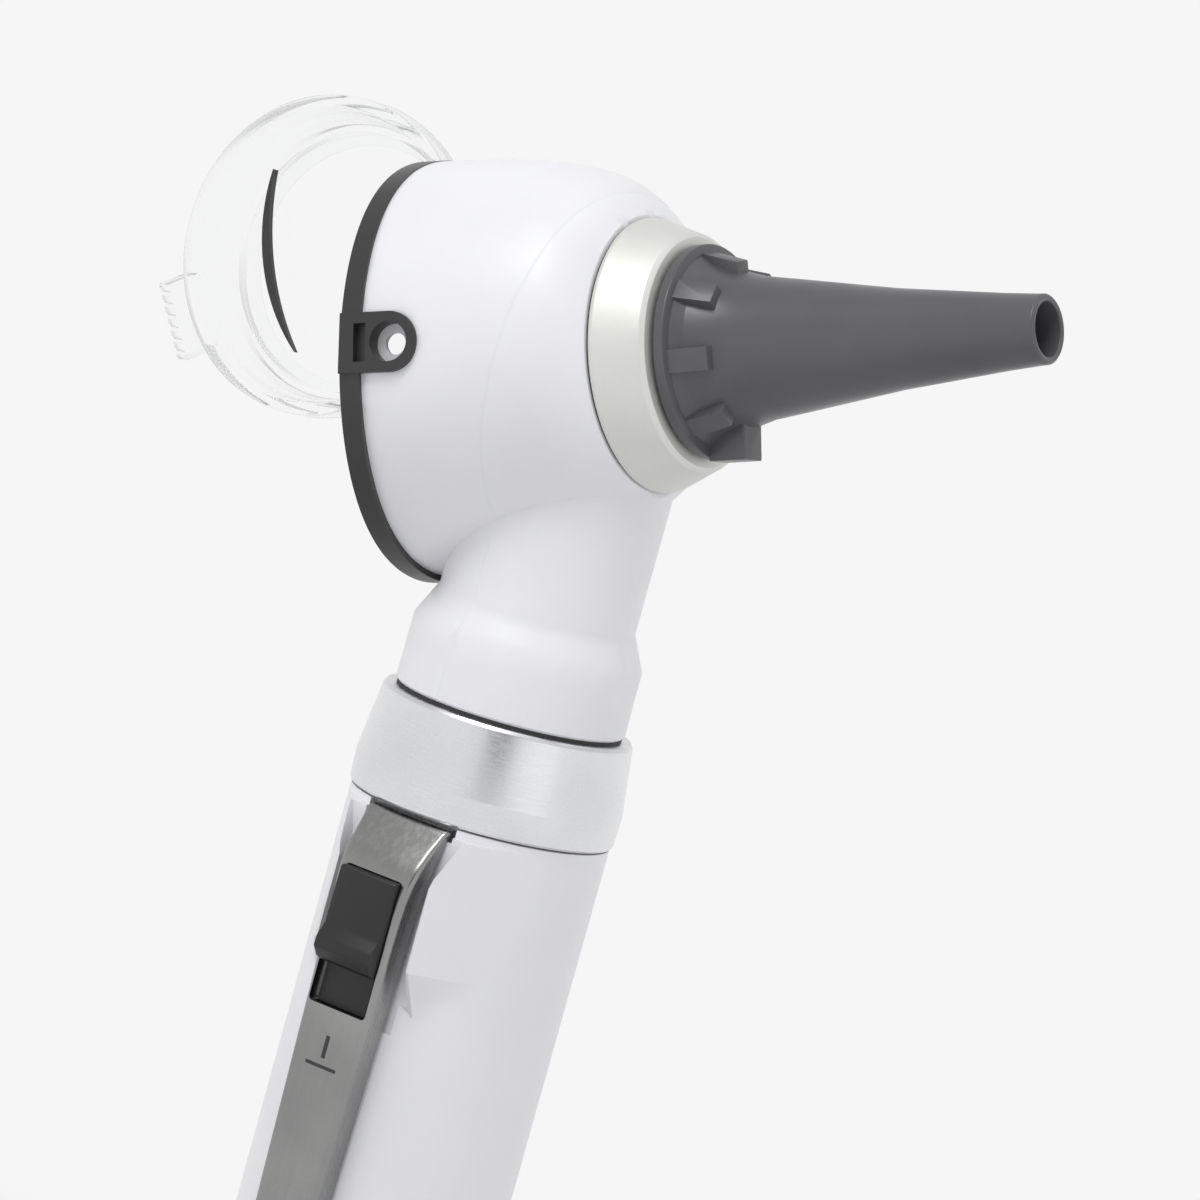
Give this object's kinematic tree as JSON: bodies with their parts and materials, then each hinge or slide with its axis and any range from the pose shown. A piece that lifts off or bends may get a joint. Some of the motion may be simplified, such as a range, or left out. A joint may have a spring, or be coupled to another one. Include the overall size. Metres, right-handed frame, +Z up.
{
  "type": "otoscope",
  "caption": "Pocket otoscope: white battery handle with steel clip and slide switch, tilted lamp head, side-swinging clear magnifier and a tapered dark ear speculum.",
  "frame": {"origin": "centre of the flat foot at the bottom of the handle's end cap", "axes": "+Z up the handle axis to the head, +X the way the speculum points (it also rises at about 19 degrees), -Y the side of the clip and switch"},
  "size_m": [0.083, 0.0345, 0.1691],
  "materials": {
    "white_plastic": "satin white moulding",
    "satin_aluminium": "fine satin",
    "black_plastic": "satin black",
    "brass": "plain",
    "spring_steel": "bright",
    "cell_jacket": "plain printed jacket without a label",
    "black_rubber": "matte",
    "clip_steel": "bright stamped strip",
    "lamp_nickel": "nickel",
    "ceramic": "matte",
    "bulb_glass": "clear",
    "filament": "tungsten wire",
    "pearl_nickel": "pale satin nickel",
    "speculum_plastic": "dark warm grey satin",
    "clear_plastic": "clear moulded acrylic",
    "lens_glass": "polished clear"
  },
  "bodies": {
    "handle": {"handle_sleeve": "white_plastic", "thread_spigot": "satin_aluminium", "contact_carrier": "black_plastic", "contact_spring": "spring_steel", "contact_strip": "brass", "switch_terminal": "brass", "cell_lower_can": "cell_jacket", "cell_lower_nub": "spring_steel", "cell_upper_can": "cell_jacket", "cell_upper_nub": "spring_steel"},
    "contact_pin": {"contact_pin": "brass"},
    "spring_seat": {"spring_plate": "spring_steel", "battery_spring": "spring_steel"},
    "end_cap": {"end_cap": "satin_aluminium", "cap_seal": "black_rubber"},
    "clip": {"clip": "clip_steel", "switch_base": "black_plastic"},
    "switch": {"switch_slider": "black_plastic", "switch_contact": "brass"},
    "head": {"head_rear_shell": "white_plastic", "head_front_shell": "white_plastic", "rear_ring": "black_plastic", "hinge_pin": "spring_steel", "coupling_ring": "satin_aluminium", "neck_seal": "black_rubber", "neck_bush": "black_plastic", "lamp_socket": "brass", "head_contact": "brass", "lamp_contact_spring": "spring_steel", "lamp_base": "lamp_nickel", "lamp_insulator": "ceramic", "lamp_tip": "lamp_nickel", "lamp_bulb": "bulb_glass", "lamp_filament": "filament", "speculum_seat": "black_plastic", "collar_seal": "black_rubber", "collar": "pearl_nickel"},
    "speculum": {"speculum": "speculum_plastic"},
    "lens": {"lens_frame": "clear_plastic", "magnifier_lens": "lens_glass", "lens_baffle": "black_plastic"}
  },
  "joints": [
    {"name": "contact_rise", "type": "slide", "parent": "handle", "child": "contact_pin", "axis": [0, 0, 1], "range_m": [0, 0.0015], "deforming": ["contact_spring"]},
    {"name": "head_turn", "type": "hinge", "parent": "contact_pin", "child": "head", "pos_m": [0, 0, 0.1205], "axis": [0, 0, 1], "range_deg": [0, 720]},
    {"name": "cap_draw", "type": "slide", "parent": "handle", "child": "spring_seat", "axis": [0, 0, -1], "range_m": [0, 0.004]},
    {"name": "cap_turn", "type": "hinge", "parent": "spring_seat", "child": "end_cap", "pos_m": [0, 0, 0], "axis": [0, 0, -1], "range_deg": [0, 1440]},
    {"name": "clip_flex", "type": "hinge", "parent": "handle", "child": "clip", "pos_m": [0, -0.0093, 0.1194], "axis": [-1, 0, 0], "range_deg": [0, 5], "stiffness_Nm_per_rad": 1.2, "springref_deg": -1.72},
    {"name": "switch_slide", "type": "slide", "parent": "clip", "child": "switch", "axis": [0, 0, -1], "range_m": [0, 0.0026]},
    {"name": "speculum_pull", "type": "slide", "parent": "head", "child": "speculum", "axis": [0.9442, 0, 0.3294], "range_m": [0, 0.012]},
    {"name": "lens_swing", "type": "hinge", "parent": "head", "child": "lens", "pos_m": [-0.01801, 0.01521, 0.15401], "axis": [0.0598, -0.2501, 0.9664], "range_deg": [0, 92.6]}
  ],
  "couplings": [
    {"joint": "head_turn", "follows": "contact_rise", "rad_per_m": 8377.5},
    {"joint": "cap_turn", "follows": "cap_draw", "rad_per_m": 6283.2}
  ]
}
